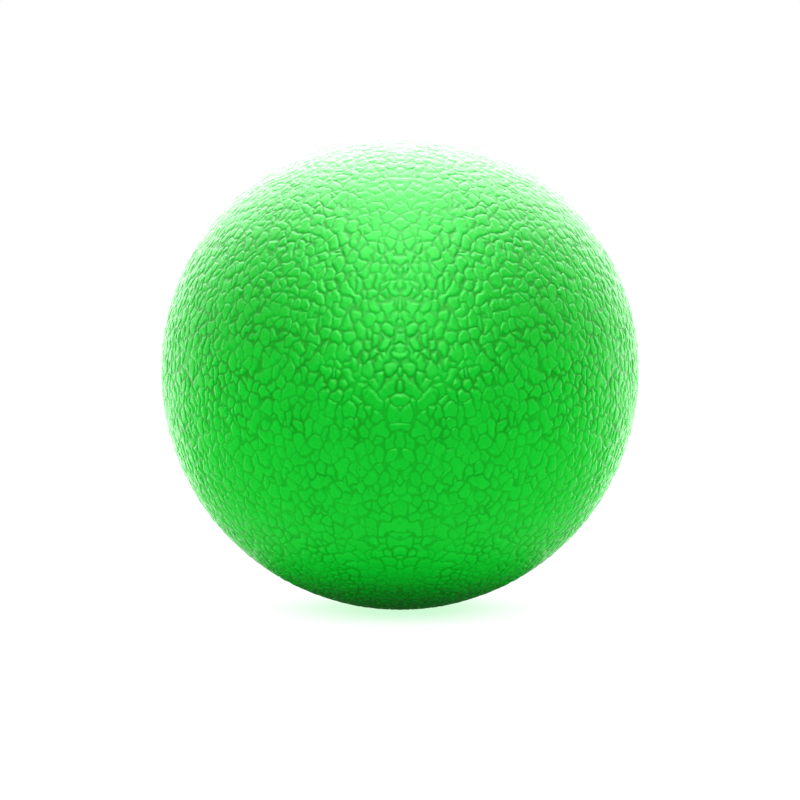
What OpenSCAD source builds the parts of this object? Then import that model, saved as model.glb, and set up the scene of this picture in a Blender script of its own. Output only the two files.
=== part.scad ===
// Massage ball: a solid round core inside a soft cover. The cover is moulded as
// two half shells, mirror images of each other, which are bonded to the core and
// to each other along the upright plane x = 0.
// Units are millimetres. The origin is the ball's centre and +Z is up.

/* [Ball] */
// Outside diameter of the finished ball, over the tops of its grain
ball_d = 63; // [60:0.5:70]
// Colour of the cover
cover_colour = "limegreen"; // [limegreen, royalblue, orange, dimgray]

/* [Core] */
// Thickness of the soft cover, from the core to the tops of the grain
cover_t = 9; // [6:0.5:14]
// Colour of the core
core_colour = "darkgreen"; // [darkgreen, dimgray, black]

/* [Hidden] */

$fn = 120;

ball_r = ball_d / 2;
core_r = ball_r - cover_t;
// Edge of the cutting block, clear of the ball on every side
block = ball_d + 10;

// One half of the cover, on the +X side of the joint: the outer sphere, hollowed
// to take the core, and cut flat where it meets the other half.
module half_shell() {
    intersection() {
        difference() {
            sphere(r = ball_r);
            sphere(r = core_r);
        }
        translate([0, -block / 2, -block / 2])
            cube(block);
    }
}

// The firm ball in the middle, moulded first
module core() {
    color(core_colour)
        sphere(r = core_r);
}

// The half of the cover on the -X side
module cover_left() {
    color(cover_colour)
        mirror([1, 0, 0])
            half_shell();
}

// The half of the cover on the +X side
module cover_right() {
    color(cover_colour)
        half_shell();
}

core();
cover_left();
cover_right();
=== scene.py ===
"""A green rubber massage ball with a pebbled grain, on a pale studio floor.

The grain is worked out in millimetres, as it is measured in them. Everything that
goes to Blender is in metres.
"""
import math

import bpy
import numpy as np
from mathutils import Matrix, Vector


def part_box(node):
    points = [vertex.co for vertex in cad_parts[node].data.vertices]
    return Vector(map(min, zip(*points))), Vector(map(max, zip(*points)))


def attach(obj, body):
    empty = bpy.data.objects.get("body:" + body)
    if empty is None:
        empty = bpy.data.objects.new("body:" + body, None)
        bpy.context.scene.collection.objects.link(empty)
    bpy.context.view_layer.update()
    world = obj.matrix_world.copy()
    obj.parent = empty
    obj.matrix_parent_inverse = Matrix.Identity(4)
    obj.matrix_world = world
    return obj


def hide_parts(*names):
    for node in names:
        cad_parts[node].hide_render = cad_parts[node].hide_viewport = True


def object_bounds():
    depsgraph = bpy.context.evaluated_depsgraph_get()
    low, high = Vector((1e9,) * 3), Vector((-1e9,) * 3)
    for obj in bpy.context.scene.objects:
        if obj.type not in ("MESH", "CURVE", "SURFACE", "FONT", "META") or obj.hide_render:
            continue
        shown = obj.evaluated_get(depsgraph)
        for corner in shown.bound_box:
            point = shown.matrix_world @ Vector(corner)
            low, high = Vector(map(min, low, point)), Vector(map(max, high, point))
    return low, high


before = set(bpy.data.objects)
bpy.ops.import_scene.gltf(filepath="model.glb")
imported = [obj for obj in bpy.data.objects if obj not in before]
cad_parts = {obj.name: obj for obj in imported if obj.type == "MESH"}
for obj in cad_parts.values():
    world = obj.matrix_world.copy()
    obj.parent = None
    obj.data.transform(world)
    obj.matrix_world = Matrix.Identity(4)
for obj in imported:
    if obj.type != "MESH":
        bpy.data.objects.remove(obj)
cad_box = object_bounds()

MM = 0.001
ball_low, ball_high = cad_box
BALL_R = (ball_high[0] - ball_low[0]) / 2
CORE_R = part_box("core")[1][0]
FLOOR_Z = ball_low[2]


# ---------------------------------------------------------------- grain
# The grain is laid out over one half of the ball, where x >= 0, and mirrored to
# the other half, because the two halves of the cover come from mirrored moulds.
# All its sizes are in millimetres.

GRAIN_SEED = 8
GRAIN_R = BALL_R / MM
# Quads along one side of the cube that is blown up into the ball. It is a
# multiple of INNER_SIDE, so that the two rims of a half meet point to point.
GRAIN_SIDE = 432
INNER_SIDE = 24

# Radius of a pebble and about how many of them are dropped on a half, large ones first
PEBBLES = ((0.66, 1500), (0.57, 10000), (0.47, 9000), (0.36, 12000))
# A pebble's own radius, as a share of the one it was dropped with
OWN_RADIUS = (0.92, 1.08)
# How close two pebbles may lie, as a share of the sum of their radii
PACKING = 0.88
# How far past the joint plane pebbles are dropped
MARGIN = 4.0
# How much longer than wide the pebbles are, up the ball, at its waist
UPRIGHT = 1.38
# A pebble's own length, as a share of the usual one where it lies
OWN_LENGTH = (0.85, 1.25)
# How far pebbles lean away from upright
LEAN = 0.45
# The share of its radius by which a large pebble pushes back its neighbours
PUSH = 0.8
# The share of pebbles that run into a neighbour
MERGED = 0.22
# The share of pebbles with a small pit in their middle
PITTED = 0.07

# How far a pebble spreads past its own radius before the ground between pebbles shows
SPREAD = 0.46
# Roundness of the pebbles' corners
CORNER = 0.07
# A pebble falls gently over its shoulder and then into the narrow crack round it
SHOULDER_DEPTH = 0.064
SHOULDER_START = -0.03
SHOULDER_WIDTH = 0.40
CRACK_DEPTH = 0.058
CRACK_WIDTH = 0.125
# The ground between pebbles sinks from the first to the second distance past their edges
GROUND_DEPTH = 0.030
GROUND_SPAN = (0.05, 0.25)
# A pebble's top has a slightly raised rim, this far inside its edge
RIM_PLACE = 0.20
RIM_WIDTH = 0.09
RIM_LIFT = 0.006
# How much single pebbles stand higher or lower, and how uneven their tops are
LIFT = 0.020
TOP_SWING = 0.014
# A pit goes from full depth to none between these distances from a pebble's middle
PIT_SPAN = (0.03, 0.22)
# The depth of pits and of the cracks in merged pebbles, as shares of a full crack
PIT_SHARE = 0.8
FAINT_SHARE = 0.7
# A crack in merged pebbles shows where its noise rises from the first value to the second
FAINT_SPAN = (0.0, 0.6)
# The usual depth of a crack, and how much it varies along its way
CRACK_SHARE = 0.88
CRACK_SWING = 0.2
# How much the whole relief's depth varies, and how far the cracks wander
DEPTH_SWING = 0.12
EDGE_SWING = 0.03

# Smooth noises: the size of their lumps, and their seed
EDGE_NOISE = (1.7, 31)
FAINT_NOISE = (1.1, 32)
DEPTH_NOISE = (6.0, 33)
TOP_NOISE = (0.9, 34)
CRACK_NOISE = (2.3, 35)
# The noises that bend the pebbles' outlines: how far, the size of their lumps, and their
# first seed, as each takes one for each axis
BENDS = ((0.20, 1.2, 11), (0.13, 0.55, 21))
# Waves in a noise, and how fast each repeats, as a share of the usual
WAVES = 12
WAVE_SPREAD = (0.6, 1.4)

# How much of its depth the grain loses at the top of the ball, between two heights that
# are shares of the ball's radius
TOP_LOSS = 0.30
TOP_SPAN = (0.3, 0.75)
# How much of their painted shade the grooves lose on the lower half, which is lit more evenly, and
# its heights
PALE_BELOW = 0.36
PALE_SPAN = (-0.35, 0.15)
# The ground's share of the grooves' painted shade, how much pebbles differ in tone, and how
# much painted highlight their rims get
GROUND_SHADE_SHARE = 0.45
PEBBLE_TONE = 0.6
RIM_PAINTED_HIGHLIGHT = 0.5

# The surface is worked through in this many patches, which are found for so many points
# at once. Pebbles further away than REACH don't shape a point.
PATCHES = 700
POINTS_AT_ONCE = 50000
REACH = 2.6
# The rim and the first row of points beside it take the height found this many rows from
# the joint, so that the halves meet level
LEVEL_ROWS = 1.05


def directions(rng, count):
    """Random unit vectors, evenly spread."""
    v = rng.normal(size=(count, 3))
    return v / np.linalg.norm(v, axis=1, keepdims=True)


def waves(points, size, seed):
    """Smooth noise, mostly between -1 and 1, whose lumps are about size across."""
    rng = np.random.default_rng(seed)
    pull = directions(rng, WAVES) * (math.pi / size) * rng.uniform(*WAVE_SPREAD, (WAVES, 1))
    phase = rng.uniform(0, 2 * math.pi, WAVES)
    return np.sin(points @ pull.T + phase).sum(axis=1) / math.sqrt(WAVES)


def rise(value, low, high):
    """0 below low, 1 above high, and smooth between them."""
    t = np.clip((value - low) / (high - low), 0, 1)
    return t * t * (3 - 2 * t)


def bell(value, width):
    """1 where the value is 0, and falling away to both sides of it."""
    return np.exp(-((value / width) ** 2))


def stretch(out):
    """How much longer than wide a pebble is where the ball faces out: most at its waist."""
    return 1 + (UPRIGHT - 1) * (1 - out[..., 2] ** 2)


def upright(out):
    """The way up the ball's surface where it faces out."""
    up = np.cross(np.cross(out, (0, 0, 1)), out)
    return up / np.maximum(np.linalg.norm(up, axis=-1, keepdims=True), 1e-6)


def drop_pebbles(rng):
    """The pebbles' middles and radii: each lands only where no earlier one is in its way."""
    most = 2 * sum(tries for _, tries in PEBBLES)
    middles = np.zeros((most, 3))
    radii = np.zeros(most)
    used = 0
    for radius, tries in PEBBLES:
        outs = directions(rng, tries * 2)
        outs = outs[outs[:, 0] * GRAIN_R > -MARGIN]
        ups = upright(outs)
        shares = 1 - 1 / stretch(outs) ** 2
        for out, up, share in zip(outs, ups, shares):
            own = radius * rng.uniform(*OWN_RADIUS)
            off = middles[:used] - out * GRAIN_R
            apart = np.sqrt((off * off).sum(axis=1) - share * (off @ up) ** 2)
            if used == 0 or (apart - PACKING * (radii[:used] + own)).min() > 0:
                middles[used] = out * GRAIN_R
                radii[used] = own
                used += 1
    return middles[:used], radii[:used]


class Grain:
    """The pebbles, and the height of the surface at any point of the ball."""

    def __init__(self):
        rng = np.random.default_rng(GRAIN_SEED)
        self.middles, self.radii = drop_pebbles(rng)
        count = len(self.radii)
        out = self.middles / GRAIN_R
        along = upright(out) + LEAN * np.cross(out, directions(rng, count))
        self.along = along / np.linalg.norm(along, axis=1, keepdims=True)
        self.squeeze = 1 - 1 / (stretch(out) * rng.uniform(*OWN_LENGTH, count))
        self.family = np.arange(count)
        for i in np.nonzero(rng.random(count) < MERGED)[0]:
            apart = np.linalg.norm(self.middles - self.middles[i], axis=1)
            apart[i] = np.inf
            self.family[i] = self.family[apart.argmin()]
        self.tone = rng.uniform(-1, 1, count)
        self.lift = rng.uniform(-1, 1, count)
        self.pitted = rng.random(count) < PITTED

    def heights(self, points):
        """Height of the surface, groove depth from 0 to 1 painted as shade, and tone from -1 to 1
        with a painted highlight on rims.
        """
        bent = points + np.stack(
            [sum(far * waves(points, size, seed + axis) for far, size, seed in BENDS)
             for axis in range(3)], axis=1)
        height = np.zeros(len(points))
        groove = np.zeros(len(points))
        tone = np.zeros(len(points))
        for rows, near in self.patches(bent):
            height[rows], groove[rows], tone[rows] = self.patch(bent[rows], points[rows], near)
        return height, groove, tone

    def patches(self, points):
        """Splits the points into small patches, each with the pebbles that can touch it."""
        turn = math.pi * (3 - math.sqrt(5)) * np.arange(PATCHES)
        z = 1 - (2 * np.arange(PATCHES) + 1) / PATCHES
        ring = np.sqrt(1 - z * z)
        hubs = GRAIN_R * np.stack([ring * np.cos(turn), ring * np.sin(turn), z], axis=1)
        home = np.empty(len(points), int)
        for start in range(0, len(points), POINTS_AT_ONCE):
            part = points[start:start + POINTS_AT_ONCE]
            home[start:start + POINTS_AT_ONCE] = (part @ hubs.T).argmax(axis=1)
        order = np.argsort(home, kind="stable")
        cuts = np.nonzero(np.diff(home[order]))[0] + 1
        for rows in np.split(order, cuts):
            hub = hubs[home[rows[0]]]
            width = np.linalg.norm(points[rows] - hub, axis=1).max()
            near = np.nonzero(np.linalg.norm(self.middles - hub, axis=1) < width + REACH)[0]
            yield rows, near

    def reach(self, points, near):
        """Distance from each point to each near pebble, less for a large or long pebble."""
        off = points[:, None, :] - self.middles[near]
        lengthwise = (off * self.along[near]).sum(axis=2)
        full = (off * off).sum(axis=2)
        shrunk = full - (1 - (1 - self.squeeze[near]) ** 2) * lengthwise**2
        return np.sqrt(np.maximum(shrunk, 0)) - PUSH * self.radii[near]

    def borders(self, bent, points, near):
        """Each point's own pebble, its reach to it, and how far inside its edges it lies.

        The first edge is the one round a family of merged pebbles, and is below 0 on the
        ground outside it. The second is the one between two pebbles of a family.
        """
        far = self.reach(bent, near)
        first = far.argmin(axis=1)
        nearest = far.min(axis=1)
        stranger = self.family[near][None, :] != self.family[near][first][:, None]
        border = (np.where(stranger, far, np.inf).min(axis=1) - nearest) / 2
        outline = SPREAD - nearest
        edge = -CORNER * np.logaddexp(-border / CORNER, -outline / CORNER)
        edge = edge - EDGE_SWING * waves(points, *EDGE_NOISE)
        relatives = np.where(stranger, np.inf, far)
        relatives[np.arange(len(far)), first] = np.inf
        split = (relatives.min(axis=1) - nearest) / 2
        return near[first], nearest, edge, split

    def cracks(self, points, pebble, nearest, edge, split):
        """Depth from 0 to 1 of the cracks round pebbles and inside them, and of the pits."""
        crack = bell(edge, CRACK_WIDTH) * (CRACK_SHARE + CRACK_SWING * waves(points, *CRACK_NOISE))
        faint = bell(split, CRACK_WIDTH) * rise(waves(points, *FAINT_NOISE), *FAINT_SPAN)
        crack = np.maximum(crack, FAINT_SHARE * faint)
        middle = nearest + PUSH * self.radii[pebble]
        pit = self.pitted[pebble] * (1 - rise(middle, *PIT_SPAN))
        return np.maximum(crack, PIT_SHARE * pit)

    def patch(self, bent, points, near):
        """Height, groove depth painted as shade, and tone with a painted rim highlight, at the
        points of one patch.
        """
        pebble, nearest, edge, split = self.borders(bent, points, near)
        crack = self.cracks(points, pebble, nearest, edge, split)
        shoulder = rise(edge, SHOULDER_START, SHOULDER_WIDTH)
        ground = rise(-edge, *GROUND_SPAN)
        rim = bell(edge - RIM_PLACE, RIM_WIDTH)
        top = shoulder * (1 - crack)
        level = points[:, 2] / GRAIN_R

        height = -SHOULDER_DEPTH * (1 - shoulder) - CRACK_DEPTH * crack - GROUND_DEPTH * ground
        height *= 1 + DEPTH_SWING * waves(points, *DEPTH_NOISE)
        height += LIFT * self.lift[pebble] * top
        height += TOP_SWING * waves(points, *TOP_NOISE) * top
        height += RIM_LIFT * rim
        height *= 1 - TOP_LOSS * rise(level, *TOP_SPAN)
        # the cracks, pits and the ground between pebbles get painted shade, less of it on the
        # lower half
        groove = np.maximum(crack, GROUND_SHADE_SHARE * ground)
        groove *= 1 - PALE_BELOW * (1 - rise(level, *PALE_SPAN))
        # each pebble's own tone, plus a painted highlight along its rim
        tone = np.clip(self.tone[pebble] * PEBBLE_TONE * top + RIM_PAINTED_HIGHLIGHT * rim, -1, 1)
        return height, groove, tone


def grow_grain(rays):
    """Height, groove depth painted as shade, and tone with a painted rim highlight, where the rays
    leave the ball, with the highest top at 0.
    """
    spots = rays * GRAIN_R
    level_from = GRAIN_R * math.sin(math.pi / 2 / GRAIN_SIDE) * LEVEL_ROWS
    spots[:, 0] = np.maximum(spots[:, 0], level_from)
    height, groove, tone = Grain().heights(spots)
    return height - height.max(), groove, tone


# ---------------------------------------------------------------- cover halves

# Where a half's faces lie on its flat map: the middle and radius of the discs that take
# the outside, the inside and the joint face
OUTSIDE_DISC = ((0.5, 0.5), 0.49)
INSIDE_DISC = ((0.075, 0.075), 0.06)
JOINT_DISC = ((0.925, 0.075), 0.06)


def half_lattice(side):
    """Half of a cube's surface as a lattice of quads, blown up to a ball: rays and faces.

    The half has x >= 0, so its open rim lies on the plane x = 0.
    """
    half = side // 2
    span = np.arange(-half, half + 1)
    quads = []
    for axis, sign in ((0, 1), (1, 1), (1, -1), (2, 1), (2, -1)):
        u_axis, v_axis = [a for a in range(3) if a != axis]
        u = span[span >= 0] if u_axis == 0 else span
        v = span
        grid = np.zeros((len(u), len(v), 3), int)
        grid[..., axis] = sign * half
        grid[..., u_axis] = u[:, None]
        grid[..., v_axis] = v[None, :]
        quad = np.stack([grid[:-1, :-1], grid[1:, :-1], grid[1:, 1:], grid[:-1, 1:]], axis=2)
        quad = quad.reshape(-1, 4, 3)
        # u x v points along +axis for x and z, and along -axis for y
        outward = sign if axis != 1 else -sign
        quads.append(quad if outward > 0 else quad[:, ::-1])
    quads = np.concatenate(quads)
    wide = 2 * half + 1
    key = ((quads[..., 0] + half) * wide + quads[..., 1] + half) * wide + quads[..., 2] + half
    unique, faces = np.unique(key, return_inverse=True)
    corners = np.stack([unique // wide**2, unique // wide % wide, unique % wide], axis=1) - half
    angles = corners * (math.pi / 2 / side)
    rays = np.tan(angles)
    rays /= np.linalg.norm(rays, axis=1, keepdims=True)
    rays[corners[:, 0] == 0, 0] = 0.0
    return rays, faces.reshape(-1, 4)


def rim_loop(rays):
    """The points of a half lattice on the plane x = 0, in order round the rim."""
    rim = np.nonzero(rays[:, 0] == 0)[0]
    return rim[np.argsort(np.arctan2(rays[rim, 2], rays[rim, 1]))]


def joint_faces(outer_rim, inner_rim):
    """The flat ring between two rims: one face, with many corners, for each inner step."""
    step = len(outer_rim) // len(inner_rim)
    faces = []
    for i in range(len(inner_rim)):
        arc = [outer_rim[(i * step + k) % len(outer_rim)] for k in range(step + 1)]
        faces.append(arc + [inner_rim[(i + 1) % len(inner_rim)], inner_rim[i]])
    return np.array(faces)[:, ::-1]


def disc_uv(rays, centre, radius):
    """Lays half a ball flat on a disc, keeping every area's share."""
    flat = np.sqrt(1 / (1 + np.clip(rays[:, 0], 0, 1)))[:, None] * rays[:, 1:]
    return np.array(centre) + radius * flat


def new_mesh(name, points, quads, joint):
    """A smooth mesh of the quads and the joint's faces, with sharp edges on the joint."""
    corners = np.concatenate([quads.ravel(), joint.ravel()])
    starts = np.concatenate([
        np.arange(len(quads)) * 4,
        len(quads) * 4 + np.arange(len(joint)) * joint.shape[1]])
    mesh = bpy.data.meshes.new(name)
    mesh.vertices.add(len(points))
    mesh.vertices.foreach_set("co", points.astype(np.float32).ravel())
    mesh.loops.add(len(corners))
    mesh.loops.foreach_set("vertex_index", corners.astype(np.int32))
    mesh.polygons.add(len(starts))
    mesh.polygons.foreach_set("loop_start", starts.astype(np.int32))
    mesh.update(calc_edges=True)
    mesh.shade_smooth()

    ends = np.empty(len(mesh.edges) * 2, np.int32)
    mesh.edges.foreach_get("vertices", ends)
    on_joint = points[:, 0] == 0
    sharp = mesh.attributes.new("sharp_edge", "BOOLEAN", "EDGE")
    sharp.data.foreach_set("value", on_joint[ends.reshape(-1, 2)].all(axis=1))
    return mesh


def cover_half(name, side_sign, outer, inner, grain):
    """One closed half of the cover: grained outside, smooth inside, and a flat joint face."""
    rays, faces = outer
    inner_rays, inner_faces = inner
    height, groove, tone = grain
    outside = rays * (BALL_R + height * MM)[:, None]
    inside = inner_rays * CORE_R
    points = np.concatenate([outside, inside])
    first_inner = len(outside)
    quads = np.concatenate([faces, inner_faces[:, ::-1] + first_inner])
    joint = joint_faces(rim_loop(rays), rim_loop(inner_rays) + first_inner)
    if side_sign < 0:
        points = points * (-1, 1, 1)
        quads = quads[:, ::-1]
        joint = joint[:, ::-1]
    mesh = new_mesh(name, points, quads, joint)

    ungrained = np.zeros(len(inside))
    # groove carries the grooves' painted shade, and tone a painted highlight on the pebbles' rims
    for label, values in (("groove", groove), ("tone", tone)):
        layer = mesh.attributes.new(label, "FLOAT", "POINT")
        layer.data.foreach_set("value", np.concatenate([values, ungrained]).astype(np.float32))

    round_uv = np.concatenate([disc_uv(rays, *OUTSIDE_DISC), disc_uv(inner_rays, *INSIDE_DISC)])
    joint_centre, joint_radius = JOINT_DISC
    joint_uv = np.array(joint_centre) + joint_radius * points[:, 1:] / BALL_R
    uv = np.concatenate([round_uv[quads.ravel()], joint_uv[joint.ravel()]])
    layer = mesh.uv_layers.new(name="OFBake")
    layer.uv.foreach_set("vector", uv.astype(np.float32).ravel())

    piece = bpy.data.objects.new(name, mesh)
    bpy.context.scene.collection.objects.link(piece)
    return piece


# ---------------------------------------------------------------- node trees


class Nodes:
    """A node tree, with its nodes made and joined in few words."""

    def __init__(self, tree):
        self.tree = tree

    def node(self, kind, **settings):
        made = self.tree.nodes.new(kind)
        for key, value in settings.items():
            setattr(made, key, value)
        return made

    def feed(self, socket, value):
        """Sets a socket to a number or a colour, or joins another node's output to it."""
        if isinstance(value, (int, float)):
            socket.default_value = value
        elif isinstance(value, tuple):
            socket.default_value = (*value, 1)
        else:
            self.tree.links.new(value, socket)

    def calc(self, operation, a, b=0.0):
        made = self.node("ShaderNodeMath", operation=operation)
        self.feed(made.inputs[0], a)
        self.feed(made.inputs[1], b)
        return made.outputs[0]

    def product(self, first, *others):
        for other in others:
            first = self.calc("MULTIPLY", first, other)
        return first

    def span(self, value, old, new=(0.0, 1.0), kind="LINEAR"):
        """Takes a value from between two old ends to between two new ones, and holds it there."""
        made = self.node("ShaderNodeMapRange", interpolation_type=kind)
        self.feed(made.inputs["Value"], value)
        for key, number in zip(("From Min", "From Max", "To Min", "To Max"), (*old, *new)):
            made.inputs[key].default_value = number
        return made.outputs["Result"]

    def ramp(self, value, old, new=(0.0, 1.0)):
        return self.span(value, old, new, "SMOOTHSTEP")

    def mix(self, factor, a, b):
        made = self.node("ShaderNodeMix", data_type="RGBA")
        # a mix node's inputs 6 and 7 are its two colours, and its output 2 is the mixed one
        self.feed(made.inputs[0], factor)
        self.feed(made.inputs[6], a)
        self.feed(made.inputs[7], b)
        return made.outputs[2]

    def axes(self, vector):
        split = self.node("ShaderNodeSeparateXYZ")
        self.feed(split.inputs[0], vector)
        return split.outputs["X"], split.outputs["Y"], split.outputs["Z"]


# ---------------------------------------------------------------- rubber

# Colours are linear. Pebbles differ between two greens, and drift to a third in clouds.
PEBBLE_GREENS = ((0.0006, 0.47, 0.014), (0.0016, 0.55, 0.022))
CLOUD_GREEN = (0.0010, 0.52, 0.020)
# The grooves' deeper green is painted shade
GROOVE_PAINTED_SHADE = (0.0001, 0.31, 0.004)
CORE_GREENS = ((0.006, 0.12, 0.012), (0.012, 0.2, 0.024))
PEBBLE_ROUGHNESS = (0.24, 0.32)
GROOVE_ROUGHNESS = 0.28
CORE_ROUGHNESS = (0.6, 0.75)
# The rubber mirrors little of the bright studio lights, and that a little green
COVER_SPECULAR = 0.12
COVER_SPECULAR_TINT = (0.78, 1.0, 0.88)
# Noises, as lumps per metre and levels of detail: clouds of colour, patches of gloss, the
# skin's fine bumps and the core's flecks
CLOUDS = (160, 2)
GLOSS = (2600, 3)
SKIN = (5200, 2)
FLECKS = (900, 4)
# Where in its noise each of them starts and is full, and how much of the third green shows
CLOUD_SPAN = (0.35, 0.65)
CLOUD_SHARE = (0, 0.4)
GLOSS_SPAN = (0.3, 0.7)
FLECK_SPAN = (0.4, 0.6)
# How deep in a groove its deeper green, a painted shade, starts and is full
GROOVE_SPAN = (0.1, 0.9)
# Height in metres and strength of the bumps
SKIN_BUMP = (0.00002, 0.5)
CORE_BUMP = (0.00008, 0.6)


class Look(Nodes):
    """A new material, and its shader."""

    def __init__(self, name):
        self.material = bpy.data.materials.new(name)
        self.material.use_nodes = True
        super().__init__(self.material.node_tree)
        self.shader = self.tree.nodes["Principled BSDF"]

    def set(self, name, value):
        self.feed(self.shader.inputs[name], value)

    def attribute(self, name):
        return self.node("ShaderNodeAttribute", attribute_name=name).outputs["Fac"]

    def noise(self, scale, detail):
        where = self.node("ShaderNodeTexCoord")
        made = self.node("ShaderNodeTexNoise")
        made.inputs["Scale"].default_value = scale
        made.inputs["Detail"].default_value = detail
        self.feed(made.inputs["Vector"], where.outputs["Object"])
        return made.outputs["Fac"]

    def bump(self, height, distance, strength):
        made = self.node("ShaderNodeBump")
        made.inputs["Strength"].default_value = strength
        made.inputs["Distance"].default_value = distance
        self.feed(made.inputs["Height"], height)
        return made.outputs["Normal"]


def cover_look():
    """Bright green moulded rubber: semi-matt pebbles, a deeper green painted into the grooves as
    shade, and a painted highlight on the pebbles' rims.
    """
    look = Look("cover_rubber_green")
    groove = look.attribute("groove")
    # tone holds each pebble's own tone and a painted highlight on its rim
    pebbles = look.mix(look.span(look.attribute("tone"), (-1, 1)), *PEBBLE_GREENS)
    cloud = look.span(look.noise(*CLOUDS), CLOUD_SPAN, CLOUD_SHARE)
    pebbles = look.mix(cloud, pebbles, CLOUD_GREEN)
    # the deeper green in the grooves is painted shade
    look.set("Base Color", look.mix(look.span(groove, GROOVE_SPAN), pebbles, GROOVE_PAINTED_SHADE))
    gloss = look.span(look.noise(*GLOSS), GLOSS_SPAN, PEBBLE_ROUGHNESS)
    look.set("Roughness", look.mix(groove, gloss, (GROOVE_ROUGHNESS,) * 3))
    look.set("Normal", look.bump(look.noise(*SKIN), *SKIN_BUMP))
    look.set("Specular IOR Level", COVER_SPECULAR)
    look.set("Specular Tint", COVER_SPECULAR_TINT)
    return look.material


def core_look():
    """Dark green rubber as it comes from a plain mould."""
    look = Look("core_rubber_dark")
    flecks = look.noise(*FLECKS)
    look.set("Base Color", look.mix(look.span(flecks, FLECK_SPAN), *CORE_GREENS))
    look.set("Roughness", look.span(flecks, GLOSS_SPAN, CORE_ROUGHNESS))
    look.set("Normal", look.bump(flecks, *CORE_BUMP))
    return look.material


# ---------------------------------------------------------------- camera

LENS_MM = 135.0
SENSOR_MM = 36.0
CLIP_START = 0.01
CAMERA_RISE = math.radians(3.5)
# Radius of the ball's outline and height of its middle, as shares of the picture's width
OUTLINE_SHARE = 0.2992
MIDDLE_SHARE = 0.0362


def add_camera():
    """A long lens a little above the ball, as far away as gives the ball its outline's share."""
    view_width = SENSOR_MM / LENS_MM
    away = BALL_R / math.sin(math.atan(OUTLINE_SHARE * view_width))
    back = Vector((0, -math.cos(CAMERA_RISE), math.sin(CAMERA_RISE)))
    up = Vector((0, math.sin(CAMERA_RISE), math.cos(CAMERA_RISE)))
    aim = -up * (away * MIDDLE_SHARE * view_width)
    place = back * away
    data = bpy.data.cameras.new("camera")
    data.lens = LENS_MM
    data.sensor_width = SENSOR_MM
    data.clip_start = CLIP_START
    camera = bpy.data.objects.new("camera", data)
    camera.location = place
    camera.rotation_euler = (aim - place).to_track_quat("-Z", "Y").to_euler()
    bpy.context.scene.collection.objects.link(camera)
    bpy.context.scene.camera = camera


# ---------------------------------------------------------------- studio
# Places in the studio are directions from the ball, as the x, y and z of a unit vector:
# a pair of them is where a light begins and where it is full.

# The soft light overhead: how far it leans back over the ball, how fast it fades from its
# middle, and how much faster it does so to the left and right
OVERHEAD_LEAN = math.radians(11)
OVERHEAD_FADE = 3.75
OVERHEAD_NARROW = 0.60
OVERHEAD_LIGHT = 26.3
# The white sweep behind the ball and beside it
SWEEP_Y = (-0.5, 1.2)
SWEEP_Z = (-0.7, -0.37)
SWEEP_LIGHT = 2.5
# The tall strip light over the camera, which brightens upwards
STRIP_HALF_WIDTH = 0.45
STRIP_Y = (0.1, -0.35)
STRIP_Z = (-0.85, 0.8)
STRIP_LIGHT = (0.0, 22.0)
# The room: pale walls behind and beside the ball, a dim front and ceiling
WALLS_Y = (-1.0, 0.3)
WALLS_LIGHT = (0.30, 1.15)
SIDES_X = (0.25, 1.0)
SIDES_Z = (-0.05, 0.5)
SIDES_LIGHT = (0.9, 2.3)
CEILING_Z = (0.35, 0.95)
CEILING_SHARE = (1.0, 0.15)
# The bright lights are mirrored once, and don't glow in the depth of the grooves. The world
# counts itself as one more bounce.
FEWER_BOUNCES = 2.5

# Half of the floor's side
FLOOR_HALF = 3.0
# The floor under the ball has a painted green reflection of the ball from its middle to the
# first radius, and is white past the second
REFLECTION_R = (0.004, 0.020)
PAINTED_REFLECTION_GREEN = (0.62, 0.95, 0.66)
GLOW_WHITE = (0.97, 0.97, 0.97)
FLOOR_GREY = (0.12, 0.12, 0.12)
# The ball shades the floor up to the first radius, and no more past the second
SHADE_R = (0.020, 0.027)
SHADE_SHARE = (0.10, 1.0)
# The floor's light as the ball mirrors it, from in front of the ball to behind it
MIRRORED_Y = (-0.03, 0.09)
MIRRORED_LIGHT = (0.3, 3.2)
# The floor's light on the ball otherwise
FLOOR_LIGHT = 1.26


def overhead_light(nodes, x, y, z):
    upward = nodes.calc("ADD", nodes.product(y, math.sin(OVERHEAD_LEAN)),
                        nodes.product(z, math.cos(OVERHEAD_LEAN)))
    fade = nodes.product(nodes.calc("SUBTRACT", upward, 1.0), OVERHEAD_FADE)
    fade = nodes.calc("SUBTRACT", fade, nodes.product(x, x, OVERHEAD_NARROW))
    return nodes.product(nodes.calc("EXPONENT", fade), OVERHEAD_LIGHT)


def strip_light(nodes, x, y, z):
    across = nodes.calc("POWER", nodes.product(nodes.calc("ABSOLUTE", x), 1 / STRIP_HALF_WIDTH), 2)
    strip = nodes.calc("EXPONENT", nodes.product(across, -1.0))
    return nodes.product(strip, nodes.ramp(y, STRIP_Y), nodes.ramp(z, STRIP_Z, STRIP_LIGHT))


def room_light(nodes, x, y, z):
    beside = nodes.product(nodes.ramp(nodes.calc("ABSOLUTE", x), SIDES_X),
                           nodes.ramp(z, SIDES_Z, SIDES_LIGHT))
    walls = nodes.calc("ADD", nodes.ramp(y, WALLS_Y, WALLS_LIGHT), beside)
    return nodes.product(walls, nodes.ramp(z, CEILING_Z, CEILING_SHARE))


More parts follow.
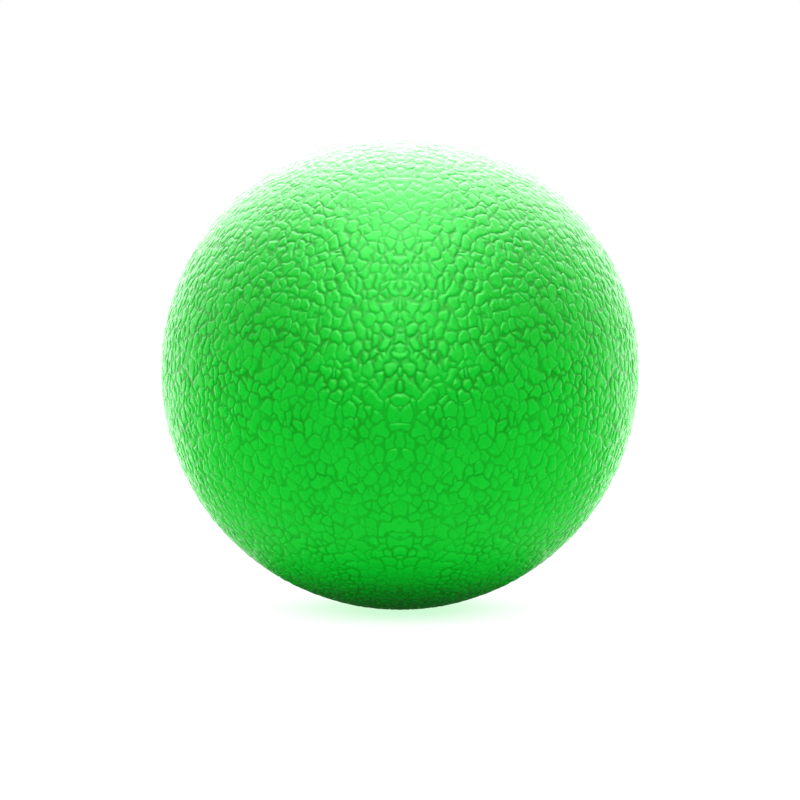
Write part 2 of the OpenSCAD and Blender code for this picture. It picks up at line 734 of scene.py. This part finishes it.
def add_world():
    """A white studio: its bright lights are mirrored by the ball, and its room lights the rest."""
    world = bpy.data.worlds.new("studio")
    world.use_nodes = True
    world.cycles.sampling_method = "NONE"
    bpy.context.scene.world = world
    nodes = Nodes(world.node_tree)
    x, y, z = nodes.axes(nodes.node("ShaderNodeTexCoord").outputs["Generated"])
    sweep = nodes.product(nodes.ramp(y, SWEEP_Y), nodes.ramp(z, SWEEP_Z), SWEEP_LIGHT)
    bright = nodes.calc("ADD", sweep, strip_light(nodes, x, y, z))
    bright = nodes.calc("ADD", bright, overhead_light(nodes, x, y, z))

    path = nodes.node("ShaderNodeLightPath").outputs
    once = nodes.calc("LESS_THAN", path["Ray Depth"], FEWER_BOUNCES)
    mirror = nodes.product(path["Is Glossy Ray"], once)
    rest = nodes.product(nodes.calc("SUBTRACT", 1.0, mirror), room_light(nodes, x, y, z))
    light = nodes.calc("ADD", nodes.product(mirror, bright), rest)
    # the camera sees plain white
    unseen = nodes.calc("SUBTRACT", 1.0, path["Is Camera Ray"])
    strength = nodes.calc("ADD", nodes.product(light, unseen), path["Is Camera Ray"])
    background = nodes.tree.nodes["Background"]
    nodes.feed(background.inputs["Strength"], strength)
    nodes.feed(background.inputs["Color"], (1, 1, 1))


def floor_look():
    """White, with a painted green reflection of the ball close to it, and a light of its own that
    reaches the ball.
    """
    material = bpy.data.materials.new("floor_white")
    material.use_nodes = True
    material.node_tree.nodes.clear()
    nodes = Nodes(material.node_tree)
    where = nodes.node("ShaderNodeTexCoord").outputs["Object"]
    flat = nodes.node("ShaderNodeVectorMath", operation="MULTIPLY")
    flat.inputs[1].default_value = (1, 1, 0)
    nodes.feed(flat.inputs[0], where)
    length = nodes.node("ShaderNodeVectorMath", operation="LENGTH")
    nodes.feed(length.inputs[0], flat.outputs[0])
    away = length.outputs["Value"]

    # what the camera sees: white, with a painted green reflection of the ball near it
    glow = nodes.node("ShaderNodeEmission")
    nodes.feed(glow.inputs["Color"], nodes.mix(nodes.ramp(away, REFLECTION_R), PAINTED_REFLECTION_GREEN, GLOW_WHITE))
    plain = nodes.node("ShaderNodeBsdfDiffuse")
    nodes.feed(plain.inputs["Color"], FLOOR_GREY)
    looks = nodes.node("ShaderNodeAddShader")
    nodes.feed(looks.inputs[0], glow.outputs[0])
    nodes.feed(looks.inputs[1], plain.outputs[0])

    # what the ball gets from the floor
    open_floor = nodes.ramp(away, SHADE_R, SHADE_SHARE)
    _, y, _ = nodes.axes(where)
    mirrored = nodes.product(open_floor, nodes.ramp(y, MIRRORED_Y, MIRRORED_LIGHT))
    lit = nodes.product(open_floor, FLOOR_LIGHT)
    path = nodes.node("ShaderNodeLightPath").outputs
    not_glossy = nodes.calc("SUBTRACT", 1.0, path["Is Glossy Ray"])
    given = nodes.calc("ADD", nodes.product(path["Is Glossy Ray"], mirrored),
                       nodes.product(not_glossy, lit))
    bounce = nodes.node("ShaderNodeEmission")
    nodes.feed(bounce.inputs["Strength"], given)

    both = nodes.node("ShaderNodeMixShader")
    nodes.feed(both.inputs[0], path["Is Camera Ray"])
    nodes.feed(both.inputs[1], bounce.outputs[0])
    nodes.feed(both.inputs[2], looks.outputs[0])
    out = nodes.node("ShaderNodeOutputMaterial")
    nodes.feed(out.inputs["Surface"], both.outputs[0])
    return material


def add_floor():
    """A pale floor under the ball."""
    mesh = bpy.data.meshes.new("floor")
    ends = ((-1, -1), (1, -1), (1, 1), (-1, 1))
    corners = [(x * FLOOR_HALF, y * FLOOR_HALF, FLOOR_Z) for x, y in ends]
    mesh.from_pydata(corners, [], [(0, 1, 2, 3)])
    mesh.materials.append(floor_look())
    floor = bpy.data.objects.new("floor", mesh)
    bpy.context.scene.collection.objects.link(floor)


# ---------------------------------------------------------------- build

add_camera()
add_world()
add_floor()
bpy.context.scene.view_settings.view_transform = "Standard"

outer = half_lattice(GRAIN_SIDE)
inner = half_lattice(INNER_SIDE)
grain = grow_grain(outer[0])
cover = cover_look()
for node, sign in (("cover_left", -1), ("cover_right", 1)):
    half = cover_half(node + "_grained", sign, outer, inner, grain)
    half.data.materials.append(cover)
    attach(half, "root")
    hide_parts(node)

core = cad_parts["core"]
core_material = core_look()
for slot in core.material_slots:
    slot.material = core_material
